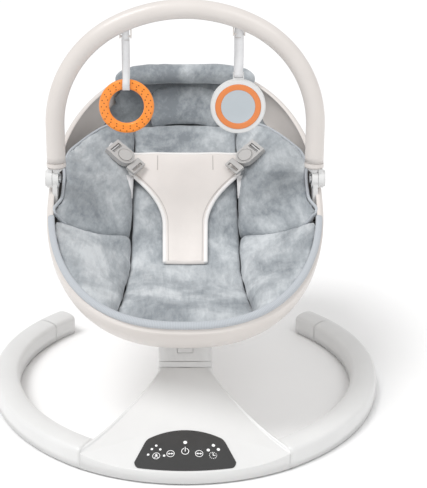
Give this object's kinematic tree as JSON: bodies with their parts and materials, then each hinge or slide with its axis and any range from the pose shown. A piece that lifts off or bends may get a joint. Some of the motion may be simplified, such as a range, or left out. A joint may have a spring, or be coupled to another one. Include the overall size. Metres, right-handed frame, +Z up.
{
  "type": "baby swing",
  "caption": "Padded bucket seat that sways about a leaning shaft on a low horseshoe base, with a touch panel, a harness with buckles and a pivoting toy bar.",
  "frame": {"origin": "on the floor, at the middle of the swing's width and length", "axes": "+Z up, +Y towards the seat's head end (the back), -Y towards the control panel (the front), +X to the right as seen from the front"},
  "size_m": [0.594, 0.6244, 0.5985],
  "materials": {
    "white_plastic": "smooth satin gloss",
    "beige_plastic": "smooth satin",
    "panel_black": "gloss",
    "circuit_board": "matte",
    "lamp_white": "gloss",
    "bare_steel": "satin",
    "dark_steel": "satin",
    "foot_rubber": "matte",
    "speaker_dark": "matte",
    "copper_wire": "enamelled wire",
    "magnet_nickel": "polished",
    "plush": "short crushed plush",
    "binding_tape": "ribbed tape",
    "harness_cloth": "smooth padded cloth",
    "buckle_grey": "satin",
    "webbing_white": "woven tape",
    "teether_orange": "soft satin",
    "toy_white": "satin",
    "mirror_face": "polished"
  },
  "bodies": {
    "base": {"base_housing": "white_plastic", "base_bottom_cover": "white_plastic", "control_panel": "panel_black", "control_board": "circuit_board", "indicator_leds": "lamp_white", "left_arm_shell": "white_plastic", "right_arm_shell": "white_plastic", "arm_covers": "white_plastic", "arm_bars": "bare_steel", "left_end_cap": "white_plastic", "right_end_cap": "white_plastic", "rubber_feet": "foot_rubber", "cover_screws": "bare_steel", "speaker": "speaker_dark", "power_inlet": "speaker_dark", "drive_coil": "copper_wire", "coil_core": "dark_steel", "pivot_bracket": "dark_steel", "pivot_bearings": "bare_steel"},
    "rotor": {"pivot_shaft": "bare_steel", "shaft_clip": "dark_steel", "magnet_arm": "dark_steel", "drive_magnets": "magnet_nickel", "rotor_spigot": "white_plastic"},
    "seat": {"seat_shell": "beige_plastic", "swing_neck": "white_plastic", "seat_mount_plate": "dark_steel", "seat_bolts": "bare_steel", "left_hub_socket": "white_plastic", "right_hub_socket": "white_plastic", "seat_pad": "plush", "left_lower_wing": "plush", "right_lower_wing": "plush", "left_upper_wing": "plush", "right_upper_wing": "plush", "pad_binding": "binding_tape", "head_pad": "plush", "head_pillow": "plush", "head_bolster": "plush", "crotch_pad": "harness_cloth", "left_buckle_body": "buckle_grey", "right_buckle_body": "buckle_grey", "left_buckle_frame": "buckle_grey", "right_buckle_frame": "buckle_grey", "harness_webbing": "webbing_white"},
    "left_buckle_button": {"left_buckle_button": "buckle_grey"},
    "right_buckle_button": {"right_buckle_button": "buckle_grey"},
    "release_button": {"release_button": "white_plastic"},
    "toy_bar": {"toy_bar": "beige_plastic", "left_bar_hub": "white_plastic", "right_bar_hub": "white_plastic", "bar_collars": "beige_plastic", "hub_pins": "bare_steel", "toy_eyes": "beige_plastic"},
    "ring_toy": {"ring_ribbon": "webbing_white", "teether_ring": "teether_orange"},
    "mirror_toy": {"mirror_ribbon": "webbing_white", "mirror_case": "toy_white", "mirror_trim": "teether_orange", "mirror_glass": "mirror_face"}
  },
  "joints": [
    {"name": "seat_swing", "type": "hinge", "parent": "base", "child": "rotor", "pos_m": [0, -0.12215, 0.086], "axis": [0, 0.4226, 0.9063], "range_deg": [-12, 12]},
    {"name": "seat_lift", "type": "slide", "parent": "rotor", "child": "seat", "axis": [0, 0.4226, 0.9063], "range_m": [0, 0.03]},
    {"name": "left_buckle_press", "type": "slide", "parent": "seat", "child": "left_buckle_button", "axis": [-0.3035, 0.5437, -0.7825], "range_m": [0, 0.002], "stiffness_N_per_m": 1200, "springref_m": -0.001},
    {"name": "right_buckle_press", "type": "slide", "parent": "seat", "child": "right_buckle_button", "axis": [0.3035, 0.5437, -0.7825], "range_m": [0, 0.002], "stiffness_N_per_m": 1200, "springref_m": -0.001},
    {"name": "release_press", "type": "slide", "parent": "seat", "child": "release_button", "axis": [0, 0.9063, -0.4226], "range_m": [0, 0.003], "stiffness_N_per_m": 1200, "springref_m": -0.001},
    {"name": "toy_bar_pivot", "type": "hinge", "parent": "seat", "child": "toy_bar", "pos_m": [0, 0.01785, 0.331], "axis": [1, 0, 0], "range_deg": [-40, 75]},
    {"name": "ring_swing", "type": "hinge", "parent": "toy_bar", "child": "ring_toy", "pos_m": [-0.086, 0.01785, 0.54503], "axis": [1, 0, 0], "range_deg": [-40, 40]},
    {"name": "mirror_swing", "type": "hinge", "parent": "toy_bar", "child": "mirror_toy", "pos_m": [0.0775, 0.01785, 0.54863], "axis": [1, 0, 0], "range_deg": [-40, 40]}
  ]
}
